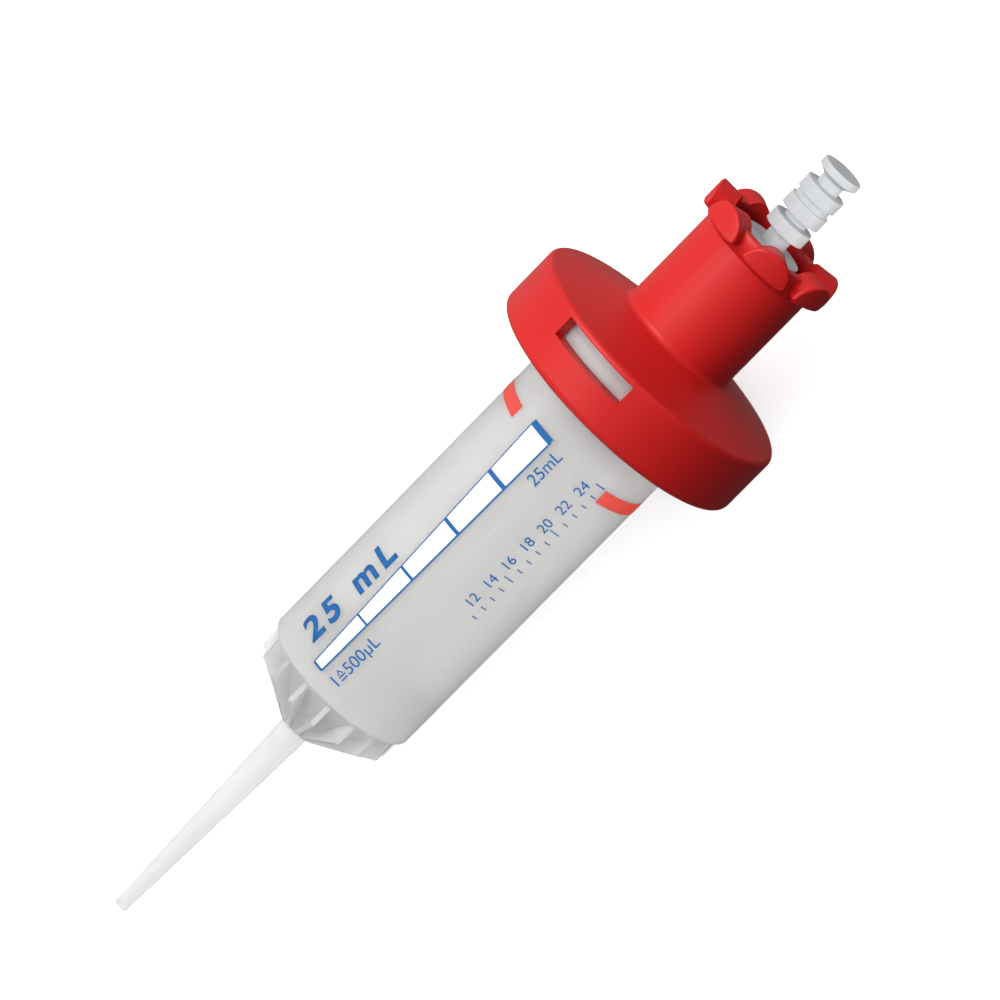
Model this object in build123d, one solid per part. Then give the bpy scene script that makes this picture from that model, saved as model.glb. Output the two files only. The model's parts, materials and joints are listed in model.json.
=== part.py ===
from build123d import *
import math
import os

# Repeating pipette tip for 25 ml, with the adapter that fits it to a hand dispenser.
# Lengths are in millimetres. Each piece is drawn on its own axis, with the nozzle's end
# at height 0, the coupling head up, and the printed side towards +X. The finished
# pieces are then laid down together as the tip comes to rest on a table.

# Measuring cylinder
nominal_volume = 25000.0
bore_diameter = 25.0
barrel_diameter = 27.0
barrel_length = 71.8
foot_chamfer = 0.7
mouth_chamfer = 0.6

# Cone below the cylinder, and its fins
cone_height = 10.1
cone_foot_diameter = 25.0
cone_wall = 1.2
fin_count = 16
fin_thickness = 0.8
fin_diameter = 25.4
fin_straight = 3.8
fin_end_diameter = 7.2
fin_end_drop = 0.8
fin_first_angle = 6.0

# Nozzle
nozzle_length = 41.2
nozzle_root_diameter = 5.1
nozzle_tip_diameter = 2.25
nozzle_root_fillet = 0.8
tip_chamfer = 0.15
orifice_diameter = 1.1
orifice_length = 3.0
channel_root_diameter = 2.7

# Flange at the head of the barrel
flange_diameter = 41.0
flange_edge = 3.5
flange_plate = 2.0
flange_rim_wall = 1.9
flange_root_chamfer = 1.0

# Adapter skirt and shoulder
skirt_wall = 2.1
skirt_height = 10.5
skirt_foot_fillet = 1.2
skirt_top_fillet = 0.9
skirt_inner_chamfer = 0.5
flange_clearance = 0.3
rim_cover = 0.9
shoulder_rise = 3.7
shoulder_wall = 1.8
seat_width = 3.3
snap_clearance = 0.1
snap_reach = 0.7
snap_height = 1.4
window_angle = 37.3
window_first_angle = -18.0
window_count = 2

# Adapter collar and crown
collar_diameter = 19.9
collar_bore = 16.4
collar_height = 22.4
collar_fillet = 1.0
crown_diameter = 24.2
lug_count = 7
lug_angle = 41.5
lug_arch_height = 4.6
lug_depth = 4.1
lug_slope = 0.9
lug_first_angle = 10.5
lug_edge_fillet = 0.4
crown_valley = 1.3
crown_valley_fillet = 0.8

# Piston seal head
seal_clearance = 0.05
seat_clearance = 0.35
lip_height = 1.2
lip_spacing = 3.0
lip_relief = 0.75
seal_wall = 1.4
seal_floor = 1.8
piston_point_diameter = 3.0

# Piston rod
rod_diameter = 12.4
rod_rib = 1.6
rod_disc = 1.2
rod_disc_count = 4
rod_plate_diameter = 11.0
rod_plate = 1.2

# Coupling head, from its top down
head_rise = 13.6
head_diameter = 7.1
head_top_disc = 1.25
head_top_taper = 0.85
head_neck_diameter = 4.05
head_first_neck = 1.55
head_disc = 2.2
head_groove_diameter = 6.2
head_groove = 1.0
head_second_neck = 1.0
head_lowest_neck = 2.7
head_flank = 0.15
head_edge_fillet = 0.25

# Heights on the common axis
foot_height = nozzle_length + cone_height
seat_height = foot_height + barrel_length
skirt_top = seat_height + rim_cover
skirt_foot = skirt_top - skirt_height
collar_foot = skirt_top + shoulder_rise
crown_top = collar_foot + collar_height
head_top = crown_top + head_rise
stroke = nominal_volume / (math.pi * (bore_diameter / 2) ** 2)

# Values that follow from the sizes above
skirt_bore = flange_diameter + 2 * flange_clearance
skirt_diameter = skirt_bore + 2 * skirt_wall
shoulder_slope = shoulder_rise / (skirt_diameter / 2 - collar_diameter / 2)
channel_top = nozzle_length + cone_wall
bore_foot = foot_height + cone_wall
floor_slope = (bore_foot - channel_top) / (bore_diameter / 2 - channel_root_diameter / 2)
flange_foot = seat_height - flange_edge
window_foot = flange_foot - snap_clearance
seal_diameter = bore_diameter - 2 * seal_clearance

same_place = 0.01


def section(corners):
    """Flat face through the axis from (radius, height) corners."""
    return make_face(Polyline([(radius, 0, height) for radius, height in corners], close=True))


def turned(corners, angle=360.0):
    """Solid turned about the axis from (radius, height) corners."""
    return revolve(section(corners), Axis.Z, angle)


def corner_at(face, diameter, height):
    """The corner of a section at one diameter and height."""
    place = Vector(diameter / 2, 0, height)
    return [corner for corner in face.vertices() if (Vector(*corner) - place).length < same_place]


def around(piece, count, first_angle):
    """Copies of a piece spaced evenly about the axis."""
    return [Rot(0, 0, first_angle + 360 * index / count) * piece for index in range(count)]


def floor_height(diameter):
    """Height of the inside of the cone at a diameter."""
    return channel_top + floor_slope * (diameter - channel_root_diameter) / 2


def shoulder_height(diameter):
    """Height of the outside of the adapter's shoulder at a diameter."""
    return skirt_top + shoulder_slope * (skirt_diameter - diameter) / 2


def barrel_shell():
    """Nozzle, cone, cylinder and flange, all turned about the axis."""
    barrel_radius = barrel_diameter / 2
    flange_radius = flange_diameter / 2
    plate_foot = seat_height - flange_plate
    wall = section([
        (orifice_diameter / 2, 0),
        (nozzle_tip_diameter / 2, 0),
        (nozzle_root_diameter / 2, nozzle_length),
        (cone_foot_diameter / 2, foot_height),
        (barrel_radius - foot_chamfer, foot_height),
        (barrel_radius, foot_height + foot_chamfer),
        (barrel_radius, plate_foot),
        (flange_radius - flange_rim_wall, plate_foot),
        (flange_radius - flange_rim_wall, flange_foot),
        (flange_radius, flange_foot),
        (flange_radius, seat_height),
        (bore_diameter / 2 + mouth_chamfer, seat_height),
        (bore_diameter / 2, seat_height - mouth_chamfer),
        (bore_diameter / 2, bore_foot),
        (channel_root_diameter / 2, channel_top),
        (orifice_diameter / 2, orifice_length),
    ])
    wall = chamfer(corner_at(wall, barrel_diameter, plate_foot), flange_root_chamfer)
    wall = fillet(corner_at(wall, nozzle_root_diameter, nozzle_length), nozzle_root_fillet)
    wall = chamfer(corner_at(wall, nozzle_tip_diameter, 0), tip_chamfer)
    return revolve(wall, Axis.Z)


def cone_fin():
    """One upright fin on the outside of the cone."""
    end_radius = fin_end_diameter / 2
    cone_slope = cone_height / ((cone_foot_diameter - nozzle_root_diameter) / 2)
    cone_at_end = nozzle_length + cone_slope * (end_radius - nozzle_root_diameter / 2)
    inside = cone_wall / 2
    outline = Polyline(
        [
            (fin_diameter / 2, 0, foot_height + inside),
            (fin_diameter / 2, 0, foot_height - fin_straight),
            (end_radius, 0, cone_at_end - fin_end_drop),
            (end_radius, 0, cone_at_end + inside),
            (cone_foot_diameter / 2, 0, foot_height + inside),
        ],
        close=True,
    )
    return extrude(make_face(outline), fin_thickness / 2, both=True)


def make_barrel():
    """The clear moulding, with its fins."""
    return barrel_shell() + around(cone_fin(), fin_count, fin_first_angle)


def adapter_shell():
    """Skirt, shoulder and collar up to the spring line of the crown's arches."""
    seat_inner = skirt_bore - 2 * seat_width
    wall = section([
        (skirt_bore / 2, skirt_foot),
        (skirt_diameter / 2, skirt_foot),
        (skirt_diameter / 2, skirt_top),
        (collar_diameter / 2, collar_foot),
        (collar_diameter / 2, crown_top - lug_arch_height),
        (collar_bore / 2, crown_top - lug_arch_height),
        (collar_bore / 2, shoulder_height(collar_bore) - shoulder_wall),
        (seat_inner / 2, shoulder_height(seat_inner) - shoulder_wall),
        (seat_inner / 2, seat_height),
        (skirt_bore / 2, seat_height),
    ])
    wall = fillet(corner_at(wall, skirt_diameter, skirt_foot), skirt_foot_fillet)
    wall = chamfer(corner_at(wall, skirt_bore, skirt_foot), skirt_inner_chamfer)
    wall = fillet(corner_at(wall, skirt_diameter, skirt_top), skirt_top_fillet)
    wall = fillet(corner_at(wall, collar_diameter, collar_foot), collar_fillet)
    return revolve(wall, Axis.Z)


def lug_profile(radius):
    """Upright outline of a lug where it crosses a radius, narrower towards the axis."""
    foot = crown_top - lug_depth - lug_slope
    spring = crown_top - lug_arch_height
    half_width = radius * math.tan(math.radians(lug_angle / 2))
    arch = Pos(0, spring) * Ellipse(half_width, lug_arch_height)
    post = Pos(0, (foot + spring) / 2) * Rectangle(2 * half_width, abs(spring - foot))
    below = Pos(0, foot - lug_arch_height) * Rectangle(4 * half_width, 2 * lug_arch_height)
    return arch + post - below


def rim_profile(radius):
    """Outline of a crest of the collar's rim, with the valleys beside it."""
    foot = crown_top - lug_depth - lug_slope
    valley = crown_top - crown_valley
    half_width = radius * math.tan(math.pi / lug_count)
    base = Pos(0, (foot + valley) / 2) * Rectangle(2 * half_width, valley - foot)
    crest = lug_profile(radius) + base
    meets = [
        corner
        for corner in crest.vertices()
        if abs(corner.Y - valley) < same_place and abs(corner.X) < half_width - same_place
    ]
    return fillet(meets, crown_valley_fillet * radius / (crown_diameter / 2))


def radial(profile):
    """Wedges with one profile that widen outwards from the axis, one at each lug."""
    ends = [Plane.YZ.offset(radius) * profile(radius) for radius in (collar_bore / 4, crown_diameter)]
    wedges = around(loft(ends, ruled=True), lug_count, lug_first_angle)
    return wedges[0] + wedges[1:]


def crown_ring(outer_diameter):
    """Ring that the crown is cut from, with a sloping foot outside the collar."""
    foot = crown_top - lug_depth - lug_slope
    return turned([
        (collar_bore / 2, foot),
        (collar_diameter / 2, foot),
        (outer_diameter / 2, crown_top - lug_depth),
        (outer_diameter / 2, crown_top),
        (collar_bore / 2, crown_top),
    ])


def make_crown():
    """Seven arched lugs outside the collar, whose rim dips between them."""
    lugs = crown_ring(crown_diameter) & radial(lug_profile)
    rounded = [
        edge
        for edge in lugs.edges()
        if all(
            abs(math.hypot(point.X, point.Y) - crown_diameter / 2) < same_place
            for point in (edge @ 0, edge @ 0.5, edge @ 1)
        )
        and edge.geom_type != GeomType.LINE
    ]
    lugs = fillet(rounded, lug_edge_fillet)
    rim = crown_ring(collar_diameter) & radial(rim_profile)
    return lugs + rim


def window_cut():
    """The slot through the skirt that the flange's edge shows in."""
    half = window_angle / 2
    slot = turned([
        (flange_diameter / 2 - same_place, window_foot),
        (skirt_diameter / 2 + flange_clearance, window_foot),
        (skirt_diameter / 2 + flange_clearance, seat_height),
        (flange_diameter / 2 - same_place, seat_height),
    ], window_angle)
    return Rot(0, 0, -half) * slot


def snap_ledge():
    """The ledge below a window that holds the flange against its seat."""
    half = window_angle / 2
    inner = skirt_bore / 2 - snap_reach
    ledge = turned([
        (skirt_bore / 2 + snap_reach, window_foot),
        (inner, window_foot),
        (inner, window_foot - snap_height / 2),
        (skirt_bore / 2, window_foot - snap_height),
        (skirt_bore / 2 + snap_reach, window_foot - snap_height),
    ], window_angle)
    return Rot(0, 0, -half) * ledge


def make_adapter():
    """The red moulding."""
    body = adapter_shell() + make_crown()
    body = body - around(window_cut(), window_count, window_first_angle)
    return body + around(snap_ledge(), window_count, window_first_angle)


def seal_head():
    """Seal with two lips, a cone below and a hollow above."""
    seal_radius = seal_diameter / 2
    relief_radius = seal_radius - lip_relief
    point_radius = piston_point_diameter / 2
    lip_foot = floor_height(seal_diameter) + seat_clearance
    groove_foot = lip_foot + lip_height
    groove_top = groove_foot + lip_spacing
    head_end = groove_top + lip_height
    hollow_radius = relief_radius - seal_wall
    return turned([
        (0, floor_height(piston_point_diameter) + seat_clearance),
        (point_radius, floor_height(piston_point_diameter) + seat_clearance),
        (seal_radius, lip_foot),
        (seal_radius, groove_foot),
        (relief_radius, groove_foot + lip_relief),
        (relief_radius, groove_top - lip_relief),
        (seal_radius, groove_top),
        (seal_radius, head_end),
        (hollow_radius, head_end),
        (hollow_radius, floor_height(2 * hollow_radius) + seat_clearance + seal_floor),
        (0, floor_height(0) + seat_clearance + seal_floor),
    ])


def head_corners():
    """Outline of the coupling head from its top down to the carrying plate."""
    disc = head_diameter / 2
    neck = head_neck_diameter / 2
    groove = head_groove_diameter / 2
    steps = [
        (disc, head_top_disc),
        (neck, head_top_taper),
        (neck, head_first_neck),
        (disc, head_flank),
        (disc, head_disc),
        (groove, head_flank),
        (groove, head_groove),
        (disc, head_flank),
        (disc, head_disc),
        (neck, head_flank),
        (neck, head_second_neck),
        (disc, head_flank),
        (disc, head_disc),
        (neck, head_flank),
        (neck, head_lowest_neck),
        (rod_plate_diameter / 2, 0),
        (rod_plate_diameter / 2, rod_plate),
    ]
    height = head_top
    corners = [(0, height), (disc, height)]
    for radius, drop in steps:
        height -= drop
        corners.append((radius, height))
    return corners


def coupling_head():
    """Discs and necks that the dispenser grips, on the plate at the rod's end."""
    corners = head_corners()
    outline = section(corners + [(0, corners[-1][1])])
    outline = fillet(corner_at(outline, head_diameter, head_top), head_edge_fillet)
    return revolve(outline, Axis.Z)


def piston_rod():
    """Cross-ribbed rod with round discs, from the seal's floor to the plate."""
    rod_foot = floor_height(rod_diameter) + seat_clearance + seal_floor / 2
    rod_top = head_corners()[-1][1]
    length = rod_top - rod_foot
    ribs = Box(rod_diameter, rod_rib, length) + Box(rod_rib, rod_diameter, length)
    rod = Pos(0, 0, (rod_foot + rod_top) / 2) * (ribs & Cylinder(rod_diameter / 2, length))
    pitch = length / (rod_disc_count + 1)
    discs = [
        Pos(0, 0, rod_foot + index * pitch) * Cylinder(rod_diameter / 2, rod_disc)
        for index in range(1, rod_disc_count + 1)
    ]
    core_foot = floor_height(2 * rod_rib) + seat_clearance
    core_length = rod_foot + rod_rib - core_foot
    core = Pos(0, 0, core_foot + core_length / 2) * Cylinder(rod_rib, core_length)
    return rod + discs + core


def make_piston():
    """The white moulding."""
    return seal_head() + piston_rod() + coupling_head()


def rest_angle():
    """Rise of the axis when the tip lies on the barrel's foot and the skirt's rounded foot."""
    across = (skirt_diameter / 2 - skirt_foot_fillet) - barrel_diameter / 2
    along = (skirt_foot + skirt_foot_fillet) - (foot_height + foot_chamfer)
    lean = math.asin(skirt_foot_fillet / math.hypot(across, along))
    return math.degrees(math.atan2(across, along) + lean)


def laid_down(pieces):
    """Pieces lying on the table, centred over the origin, nozzle towards +X."""
    turn = Rot(0, rest_angle() - 90, 0)
    lying = {name: turn * piece for name, piece in pieces.items()}
    box = Compound(list(lying.values())).bounding_box()
    shift = Pos(-box.center().X, -box.center().Y, -box.min.Z)
    return {name: shift * piece for name, piece in lying.items()}


os.makedirs("parts", exist_ok=True)
finished = laid_down({
    "barrel": make_barrel(),
    "piston": make_piston(),
    "adapter": make_adapter(),
})
for name, piece in finished.items():
    export_step(piece, f"parts/{name}.step")
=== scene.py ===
import json
import math

import bmesh
import bpy
from mathutils import Matrix, Vector


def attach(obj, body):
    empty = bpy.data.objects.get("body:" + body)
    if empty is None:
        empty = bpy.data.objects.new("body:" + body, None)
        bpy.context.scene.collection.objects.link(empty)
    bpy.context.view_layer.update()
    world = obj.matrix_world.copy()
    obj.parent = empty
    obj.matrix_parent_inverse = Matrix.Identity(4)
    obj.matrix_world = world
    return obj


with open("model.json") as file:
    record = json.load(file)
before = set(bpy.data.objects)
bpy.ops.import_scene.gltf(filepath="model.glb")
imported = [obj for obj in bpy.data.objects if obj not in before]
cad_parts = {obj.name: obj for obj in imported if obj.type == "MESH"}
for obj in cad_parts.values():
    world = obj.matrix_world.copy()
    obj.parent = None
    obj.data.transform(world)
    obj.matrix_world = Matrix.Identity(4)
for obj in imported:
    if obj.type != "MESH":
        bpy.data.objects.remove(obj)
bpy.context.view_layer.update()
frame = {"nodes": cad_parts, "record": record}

# A repeating pipette tip as it lies on a pale table, seen from above.
# Lengths are in millimetres on the tip's own axis, with height 0 at the nozzle's end and
# the coupling head up, until place() turns them into the frame's metres. Angles are in
# degrees round that axis, from the printed front towards the right.

MM = 0.001

# Sizes of the mouldings that the print and the camera are set against
HEAD_MOUNT_HEIGHT = 162.95
BARREL_RADIUS = 13.5
BARREL_FOOT = 51.3
SKIRT_FOOT = 113.5

# Rim of the collar between the lugs of the crown
RIM_INNER, RIM_OUTER = 8.19, 9.96
RIM_FOOT = 145.2
RIM_VALLEY = 148.8
RIM_ROUNDING = 0.7
RIM_EDGE = 0.25
RIM_EDGE_MIDDLE = 0.3 * RIM_EDGE
RIM_STEPS = 280
LUG_COUNT = 7
LUG_FIRST_ANGLE = 10.5
LUG_HALF_ANGLE = 20.75
LUG_SPRING = 145.5
LUG_ARCH = 4.6
LUG_COVER = 0.06

# Camera: where it aims, its distance, its lean from the axis and its roll
AIM_HEIGHT = 90.0
AIM_ASIDE = -2.18
CAMERA_DISTANCE = 1000.0
LINE_OF_SIGHT = 16.0
AXIS_ON_PICTURE = 45.5
PIXELS_PER_MM = 6.58
PICTURE_SIDE = 1000
SENSOR_WIDTH = 36.0

# Film of ink on the barrel, and of the white field under the scale
INK_GAP = 0.012
INK_THICKNESS = 0.02
UNDERLAY_GAP = 0.005
UNDERLAY_THICKNESS = 0.006
WRAP_STEP = 0.6

# Tapered scale
VOLUME = 25
SCALE_FOOT = BARREL_FOOT + 3.6
SCALE_TOP = SKIRT_FOOT - 7.8
SCALE_STEPS = 5
TICK_THICKNESS = (0.4, 0.4, 0.5, 0.65, 0.8, 1.1)
LEFT_AT_FOOT, LEFT_AT_TOP = -22.1, -30.3
RIGHT_AT_FOOT, RIGHT_AT_TOP = -14.4, -11.8
LEFT_LINE = 0.2
RIGHT_LINE = 0.3

# Plain volumes beside it
LABEL_ANGLE = 0.9
LABEL_HEIGHT = 1.95
TOP_LABEL_DROP = 6.7
FOOT_LABEL_DROP = 0.4
TITLE_ANGLE = -32.5
TITLE_HEIGHT = 4.4
TITLE_RISE = 1.6
TITLE_WEIGHT = 0.03
TITLE_SPREAD = 1.3

# Fine scale towards the right
FINE_FIRST_TICK = 11
FINE_NUMBER_STEP = 2
FINE_NUMBER_ANGLE = 27.0
FINE_NUMBER_HEIGHT = 1.7
FINE_NUMBER_DROP = 1.2
FINE_TICK_ANGLE = 36.0
FINE_TICK_LENGTH = 1.1
LONG_TICK_LENGTH = 1.9
LONG_TICK_STEP = 5
FINE_TICK_HALF = 0.1

# Coloured band under the skirt, open at the front
BAND_HEIGHT = 2.4
BAND_DROP = 9.05
BAND_GAP = (-45.2, 37.4)

# Surroundings, in metres
TABLE_HALF = 3.0
WORLD_REACH = 0.7


def axes():
    """The tip's own axes and the nozzle's end, in the frame."""
    mounts = {one["name"]: one for one in frame["record"]["mounts"]}
    up = Vector(mounts["coupling_head"]["axis"]).normalized()
    side = Vector((0.0, 1.0, 0.0))
    front = side.cross(up)
    foot = Vector(mounts["coupling_head"]["pos_m"]) - up * HEAD_MOUNT_HEIGHT * MM
    return front, side, up, foot


FRONT, SIDE, UP, FOOT = axes()


def place(x, y, z):
    """A point of the tip's own axes, in millimetres, as a point of the frame."""
    return FOOT + (FRONT * x + SIDE * y + UP * z) * MM


def around(radius, turn, height):
    """A point round the tip's axis, with its turn in radians, as a point of the frame."""
    return place(radius * math.cos(turn), radius * math.sin(turn), height)


def arc_at(angle):
    """Arc length round the barrel's wall to an angle."""
    return math.radians(angle) * BARREL_RADIUS


# Pieces


def add(name, data):
    """A new object in the scene."""
    piece = bpy.data.objects.new(name, data)
    bpy.context.collection.objects.link(piece)
    return piece


def carried(name, shape, material):
    """A closed shape as a piece that the barrel carries."""
    bmesh.ops.recalc_face_normals(shape, faces=shape.faces[:])
    mesh = bpy.data.meshes.new(name)
    shape.to_mesh(mesh)
    shape.free()
    mesh.materials.append(material)
    piece = add(name, mesh)
    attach(piece, "barrel")
    return piece


def dress(node, material):
    """A finish on a moulding that keeps its own shape."""
    piece = frame["nodes"][node]
    piece.data.materials.clear()
    piece.data.materials.append(material)
    return piece


# Materials


def principled(name, colour):
    """A new material, its nodes, links and shader."""
    material = bpy.data.materials.new(name)
    material.use_nodes = True
    nodes = material.node_tree.nodes
    shader = nodes["Principled BSDF"]
    shader.inputs["Base Color"].default_value = (*colour, 1.0)
    return material, nodes, material.node_tree.links, shader


def noise(nodes, links, scale, detail):
    """Noise in the object's own space."""
    where = nodes.new("ShaderNodeTexCoord")
    pattern = nodes.new("ShaderNodeTexNoise")
    pattern.inputs["Scale"].default_value = scale
    pattern.inputs["Detail"].default_value = detail
    links.new(where.outputs["Object"], pattern.inputs["Vector"])
    return pattern


def vary(nodes, links, shader, scale, roughness, colours, relief):
    """Roughness, colour and height that drift over the surface like a moulded skin."""
    broad = noise(nodes, links, scale, detail=4.0)
    fine = noise(nodes, links, scale * 16, detail=2.0)
    spread = nodes.new("ShaderNodeMapRange")
    spread.inputs["To Min"].default_value = roughness[0]
    spread.inputs["To Max"].default_value = roughness[1]
    links.new(broad.outputs["Fac"], spread.inputs["Value"])
    links.new(spread.outputs["Result"], shader.inputs["Roughness"])
    ramp = nodes.new("ShaderNodeValToRGB")
    for element, position, colour in zip(ramp.color_ramp.elements, (0.3, 0.7), colours):
        element.position = position
        element.color = (*colour, 1.0)
    links.new(broad.outputs["Fac"], ramp.inputs["Fac"])
    links.new(ramp.outputs["Color"], shader.inputs["Base Color"])
    bump = nodes.new("ShaderNodeBump")
    bump.inputs["Strength"].default_value = relief
    bump.inputs["Distance"].default_value = 0.1 * MM
    links.new(fine.outputs["Fac"], bump.inputs["Height"])
    links.new(bump.outputs["Normal"], shader.inputs["Normal"])


def milky(shader, share, depth):
    """Light that spreads inside the plastic, to a depth in millimetres."""
    shader.inputs["Subsurface Weight"].default_value = share
    shader.inputs["Subsurface Radius"].default_value = (1.0, 1.0, 1.0)
    shader.inputs["Subsurface Scale"].default_value = depth * MM


def red_plastic():
    """Satin red moulding."""
    material, nodes, links, shader = principled("red_satin", (0.61, 0.01, 0.01))
    colours = ((0.59, 0.009, 0.009), (0.63, 0.012, 0.012))
    vary(nodes, links, shader, scale=70.0, roughness=(0.4, 0.5), colours=colours, relief=0.12)
    shader.inputs["Specular IOR Level"].default_value = 0.32
    return material


def white_plastic():
    """Natural white polyethylene, a little cool."""
    material, nodes, links, shader = principled("white_satin", (0.5, 0.52, 0.535))
    colours = ((0.48, 0.5, 0.515), (0.52, 0.54, 0.555))
    vary(nodes, links, shader, scale=90.0, roughness=(0.38, 0.5), colours=colours, relief=0.1)
    milky(shader, share=0.5, depth=2.5)
    return material


def clear_plastic():
    """Milky polypropylene that light passes through."""
    material, nodes, links, shader = principled("milky_clear", (0.84, 0.832, 0.82))
    colours = ((0.82, 0.812, 0.8), (0.86, 0.852, 0.84))
    vary(nodes, links, shader, scale=60.0, roughness=(0.25, 0.33), colours=colours, relief=0.05)
    milky(shader, share=0.7, depth=5.0)
    shader.inputs["Transmission Weight"].default_value = 0.55
    shader.inputs["IOR"].default_value = 1.45
    return material


def ink(name, colour):
    """Printed ink with a slightly uneven cover."""
    material, nodes, links, shader = principled(name, colour)
    thin = tuple(0.92 * part + 0.006 for part in colour)
    colours = (thin, colour)
    vary(nodes, links, shader, scale=300.0, roughness=(0.42, 0.55), colours=colours, relief=0.08)
    shader.inputs["Specular IOR Level"].default_value = 0.2
    return material


# Rim


def rim_height(angle):
    """Height of the rim at an angle: flat in a valley, then up under a lug's arch."""
    pitch = 360 / LUG_COUNT
    off = (angle - LUG_FIRST_ANGLE + pitch / 2) % pitch - pitch / 2
    share = math.tan(math.radians(off)) / math.tan(math.radians(LUG_HALF_ANGLE))
    arch = LUG_SPRING - LUG_COVER + LUG_ARCH * math.sqrt(max(0.0, 1 - share * share))
    near = max(0.0, 1 - abs(arch - RIM_VALLEY) / RIM_ROUNDING)
    return max(arch, RIM_VALLEY) + near * near * RIM_ROUNDING / 4


def rim_section(top):
    """Radii and heights round the wall's section under a top, with its upper edges eased."""
    return (
        (RIM_INNER, RIM_FOOT),
        (RIM_OUTER, RIM_FOOT),
        (RIM_OUTER, top - RIM_EDGE),
        (RIM_OUTER - RIM_EDGE_MIDDLE, top - RIM_EDGE_MIDDLE),
        (RIM_OUTER - RIM_EDGE, top),
        (RIM_INNER + RIM_EDGE, top),
        (RIM_INNER + RIM_EDGE_MIDDLE, top - RIM_EDGE_MIDDLE),
        (RIM_INNER, top - RIM_EDGE),
    )


def collar_rim(material):
    """The collar's wall between the lugs and inside them."""
    ring = bmesh.new()
    loops = []
    for step in range(RIM_STEPS):
        angle = 360 * step / RIM_STEPS
        turn = math.radians(angle)
        section = rim_section(rim_height(angle))
        loops.append([ring.verts.new(around(radius, turn, height)) for radius, height in section])
    for one, other in zip(loops, loops[1:] + loops[:1]):
        for low, high in zip(range(len(one)), [*range(1, len(one)), 0]):
            ring.faces.new((one[low], other[low], other[high], one[high])).smooth = True
    carried("collar_rim", ring, material)


# Print


def quads(*outlines):
    """A flat mesh of four-cornered fields, each given as (arc, height) corners."""
    flat = bmesh.new()
    for outline in outlines:
        flat.faces.new([flat.verts.new((arc, height, 0.0)) for arc, height in outline])
    return flat


def lettering(text, letter_height, angle, height, weight=0.0, spread=1.0):
    """Flat letters that read towards the head, from a foot at one angle and height."""
    curve = bpy.data.curves.new(text, "FONT")
    curve.body = text
    curve.offset = weight
    curve.space_character = spread
    curve.resolution_u = 6
    sample = bpy.data.objects.new(text, curve)
    mesh = bpy.data.meshes.new_from_object(sample)
    size = letter_height / max(corner.co.y for corner in mesh.vertices)
    flat = bmesh.new()
    flat.from_mesh(mesh)
    foot = arc_at(angle)
    for corner in flat.verts:
        across, along = corner.co.y * size, corner.co.x * size
        corner.co = Vector((foot - across, height + along, 0.0))
    bpy.data.objects.remove(sample)
    bpy.data.curves.remove(curve)
    bpy.data.meshes.remove(mesh)
    return flat


def printed(name, flat, material, gap=INK_GAP, thickness=INK_THICKNESS):
    """A flat mesh of arc lengths and heights, laid on the barrel's wall as a film of ink."""
    low = min(corner.co.x for corner in flat.verts)
    high = max(corner.co.x for corner in flat.verts)
    for step in range(math.ceil(low / WRAP_STEP), math.ceil(high / WRAP_STEP)):
        bmesh.ops.bisect_plane(
            flat,
            geom=flat.verts[:] + flat.edges[:] + flat.faces[:],
            plane_co=(step * WRAP_STEP, 0.0, 0.0),
            plane_no=(1.0, 0.0, 0.0),
        )
    raised = bmesh.ops.extrude_face_region(flat, geom=flat.faces[:])
    for item in raised["geom"]:
        if isinstance(item, bmesh.types.BMVert):
            item.co.z += thickness
    for corner in flat.verts:
        arc, height, lift = corner.co
        corner.co = around(BARREL_RADIUS + gap + lift, arc / BARREL_RADIUS, height)
    return carried(name, flat, material)


def scale_height(volume):
    """Height of a volume on the scale."""
    return SCALE_FOOT + (SCALE_TOP - SCALE_FOOT) * volume / VOLUME


def scale_edges(height):
    """Arc lengths of the two slanting lines of the scale at a height."""
    share = (height - SCALE_FOOT) / (SCALE_TOP - SCALE_FOOT)
    left = LEFT_AT_FOOT + (LEFT_AT_TOP - LEFT_AT_FOOT) * share
    right = RIGHT_AT_FOOT + (RIGHT_AT_TOP - RIGHT_AT_FOOT) * share
    return arc_at(left), arc_at(right)


def across_scale(low, high):
    """Corners of a field that spans the scale between two heights."""
    low_left, low_right = scale_edges(low)
    high_left, high_right = scale_edges(high)
    return [(low_left, low), (low_right, low), (high_right, high), (high_left, high)]


def slanting(edge, width):
    """Corners of one slanting line of the scale."""
    foot = scale_edges(SCALE_FOOT)[edge]
    top = scale_edges(SCALE_TOP)[edge]
    half = width / 2
    return [
        (foot - half, SCALE_FOOT),
        (foot + half, SCALE_FOOT),
        (top + half, SCALE_TOP),
        (top - half, SCALE_TOP),
    ]


def graduation(blue, white):
    """The tapered scale over its white field."""
    field = quads(across_scale(SCALE_FOOT, SCALE_TOP))
    yield printed("scale_field", field, white, UNDERLAY_GAP, UNDERLAY_THICKNESS)
    yield printed("scale_lines", quads(slanting(0, LEFT_LINE), slanting(1, RIGHT_LINE)), blue)
    for step, thickness in enumerate(TICK_THICKNESS):
        low = scale_height(VOLUME * step / SCALE_STEPS) - thickness / 2
        yield printed(f"scale_mark_{step}", quads(across_scale(low, low + thickness)), blue)


def numbers(blue):
    """Plain volumes beside the scale."""
    top = lettering("25mL", LABEL_HEIGHT, LABEL_ANGLE, SCALE_TOP - TOP_LABEL_DROP)
    yield printed("volume_top", top, blue)
    foot = lettering("1≙500µL", LABEL_HEIGHT, LABEL_ANGLE, SCALE_FOOT - FOOT_LABEL_DROP)
    yield printed("volume_foot", foot, blue)
    title_foot = SCALE_FOOT + TITLE_RISE
    title = lettering("25 mL", TITLE_HEIGHT, TITLE_ANGLE, title_foot, TITLE_WEIGHT, TITLE_SPREAD)
    yield printed("volume_title", title, blue)


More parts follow.
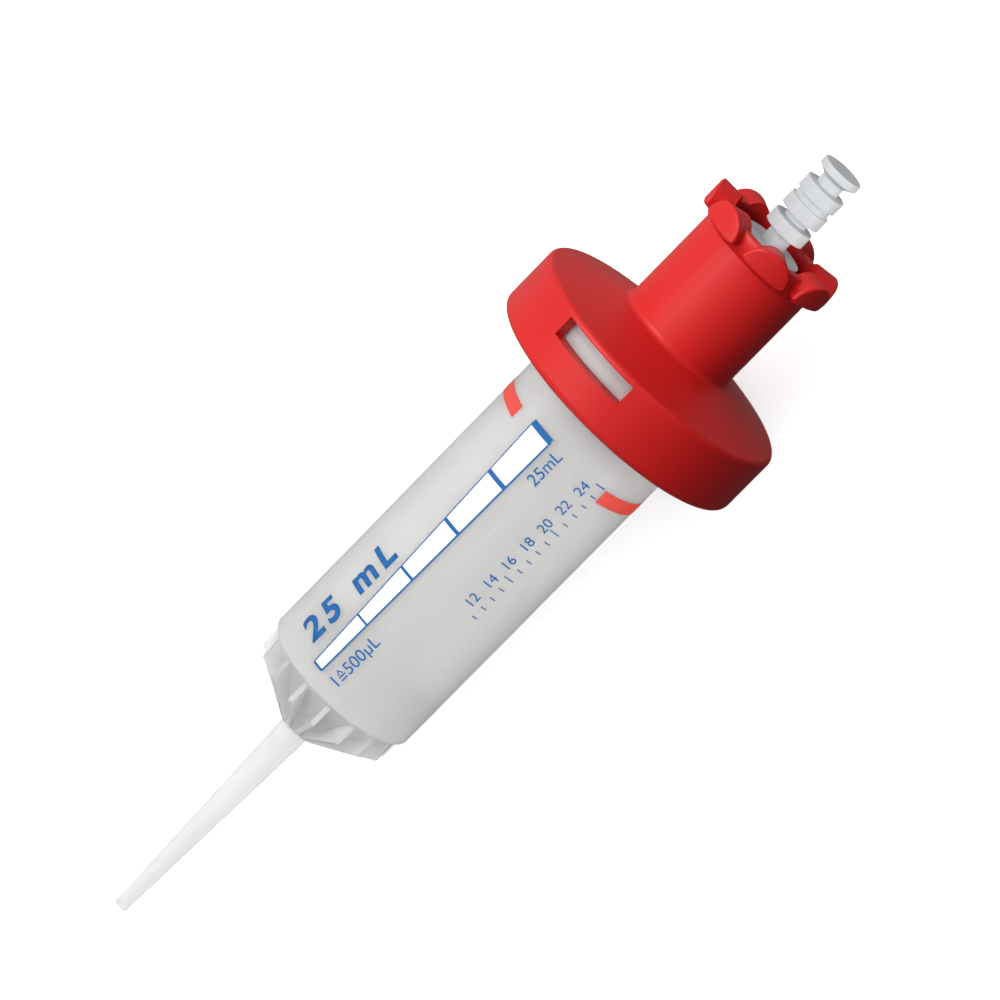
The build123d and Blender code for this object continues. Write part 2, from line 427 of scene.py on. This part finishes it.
def fine_scale(blue):
    """Small even numbers and single millilitre ticks towards the right."""
    for volume in range(FINE_FIRST_TICK + 1, VOLUME + 1, FINE_NUMBER_STEP):
        height = scale_height(volume) - FINE_NUMBER_DROP
        number = lettering(str(volume), FINE_NUMBER_HEIGHT, FINE_NUMBER_ANGLE, height)
        yield printed(f"fine_number_{volume}", number, blue)
    ticks = []
    end = arc_at(FINE_TICK_ANGLE)
    for volume in range(FINE_FIRST_TICK, VOLUME + 1):
        length = FINE_TICK_LENGTH if volume % LONG_TICK_STEP else LONG_TICK_LENGTH
        low = scale_height(volume) - FINE_TICK_HALF
        high = scale_height(volume) + FINE_TICK_HALF
        ticks.append([(end - length, low), (end, low), (end, high), (end - length, high)])
    yield printed("fine_ticks", quads(*ticks), blue)


def code_band(red):
    """The coloured band round the barrel under the skirt, open at the front."""
    middle = SKIRT_FOOT - BAND_DROP
    low = middle - BAND_HEIGHT / 2
    high = middle + BAND_HEIGHT / 2
    start = arc_at(BAND_GAP[1])
    end = arc_at(BAND_GAP[0] + 360)
    field = quads([(start, low), (end, low), (end, high), (start, high)])
    return printed("code_band", field, red)


# Setting


def only_for(light, pieces):
    """A light that falls on some pieces and no others, and the group they make."""
    group = bpy.data.collections.new(light.name + "_group")
    for piece in pieces:
        group.objects.link(piece)
    light.light_linking.receiver_collection = group
    return group


def soft_light(name, target, offset, size, power):
    """A square soft box at an offset in metres from its target, with its power in watts."""
    data = bpy.data.lights.new(name, "AREA")
    data.shape = "SQUARE"
    data.size = size
    data.energy = power
    lamp = add(name, data)
    lamp.location = target + offset
    lamp.rotation_euler = (-offset).to_track_quat("-Z", "Y").to_euler()
    return lamp


def table():
    """A wide pale table top."""
    half = TABLE_HALF
    corners = [(-half, -half, 0), (half, -half, 0), (half, half, 0), (-half, half, 0)]
    mesh = bpy.data.meshes.new("table_top")
    mesh.from_pydata(corners, [], [(0, 1, 2, 3)])
    piece = add("table_top", mesh)
    material, _, _, shader = principled("pale_table", (0.9, 0.9, 0.9))
    shader.inputs["Roughness"].default_value = 0.9
    shader.inputs["Specular IOR Level"].default_value = 0.1
    mesh.materials.append(material)
    piece.visible_diffuse = False
    piece.visible_glossy = False
    return piece


def studio_world(towards, bright, dim):
    """An even room that is brighter on one side."""
    world = bpy.data.worlds.new("studio")
    world.use_nodes = True
    nodes = world.node_tree.nodes
    links = world.node_tree.links
    where = nodes.new("ShaderNodeTexCoord")
    facing = nodes.new("ShaderNodeVectorMath")
    facing.operation = "DOT_PRODUCT"
    facing.inputs[1].default_value = towards
    links.new(where.outputs["Generated"], facing.inputs[0])
    spread = nodes.new("ShaderNodeMapRange")
    spread.inputs["From Min"].default_value = -WORLD_REACH
    spread.inputs["From Max"].default_value = WORLD_REACH
    spread.inputs["To Min"].default_value = dim
    spread.inputs["To Max"].default_value = bright
    links.new(facing.outputs["Value"], spread.inputs["Value"])
    nodes["Background"].inputs["Color"].default_value = (1.0, 1.0, 1.0, 1.0)
    links.new(spread.outputs["Result"], nodes["Background"].inputs["Strength"])
    bpy.context.scene.world = world


def camera():
    """The camera over the table, rolled so that the axis climbs to the right."""
    rise = math.degrees(math.asin(UP.z))
    lean = math.radians(LINE_OF_SIGHT - rise)
    back = Vector((-math.sin(lean), 0.0, math.cos(lean)))
    along = (UP - back * UP.dot(back)).normalized()
    across = along.cross(back)
    turn = math.radians(AXIS_ON_PICTURE)
    right = along * math.cos(turn) + across * math.sin(turn)
    up = along * math.sin(turn) - across * math.cos(turn)
    target = place(0, AIM_ASIDE, AIM_HEIGHT)
    data = bpy.data.cameras.new("camera")
    data.sensor_width = SENSOR_WIDTH
    data.lens = SENSOR_WIDTH * PIXELS_PER_MM * CAMERA_DISTANCE / PICTURE_SIDE
    data.clip_start = 0.01
    data.clip_end = 20.0
    eye = add("camera", data)
    facing = Matrix((right, up, back)).transposed().to_4x4()
    eye.matrix_world = Matrix.Translation(target + back * CAMERA_DISTANCE * MM) @ facing
    bpy.context.scene.camera = eye
    return target, right, up


def setting(barrel, piston):
    """Camera, table, room and lights, some of them for the pale pieces alone."""
    target, right, up = camera()
    above = Vector((0.0, 0.0, 1.0))
    upper_left = up * 0.7 - right * 0.6 + above * 0.35
    studio_world(upper_left.normalized(), bright=0.68, dim=0.08)
    offset = up * 0.62 - right * 0.42 + above * 1.0
    soft_light("main_light", target, offset, size=0.7, power=12.5)

    top = table()
    table_light = soft_light("table_light", target, above * 1.6, size=2.0, power=36.0)
    table_light.light_linking.blocker_collection = only_for(table_light, [top])

    offset = right * 0.75 - up * 0.5 + above * 0.45
    low_light = soft_light("low_light", target, offset, size=0.6, power=10.0)
    only_for(low_light, [*barrel, piston])
    offset = UP * -0.7 + above * 0.55
    only_for(soft_light("foot_light", target, offset, size=0.5, power=1.8), barrel)
    offset = (up - right) * 0.65 + above * 0.25
    only_for(soft_light("side_light", target, offset, size=0.35, power=1.8), barrel)


def main():
    bpy.context.scene.view_settings.view_transform = "Standard"
    red = red_plastic()
    dress("adapter", red)
    collar_rim(red)
    piston = dress("piston", white_plastic())
    barrel = dress("barrel", clear_plastic())
    blue = ink("blue_ink", (0.004, 0.1, 0.31))
    print_pieces = [
        *graduation(blue, ink("white_ink", (0.86, 0.87, 0.87))),
        *numbers(blue),
        *fine_scale(blue),
        code_band(ink("red_ink", (0.62, 0.06, 0.045))),
    ]
    setting([barrel, *print_pieces], piston)


main()
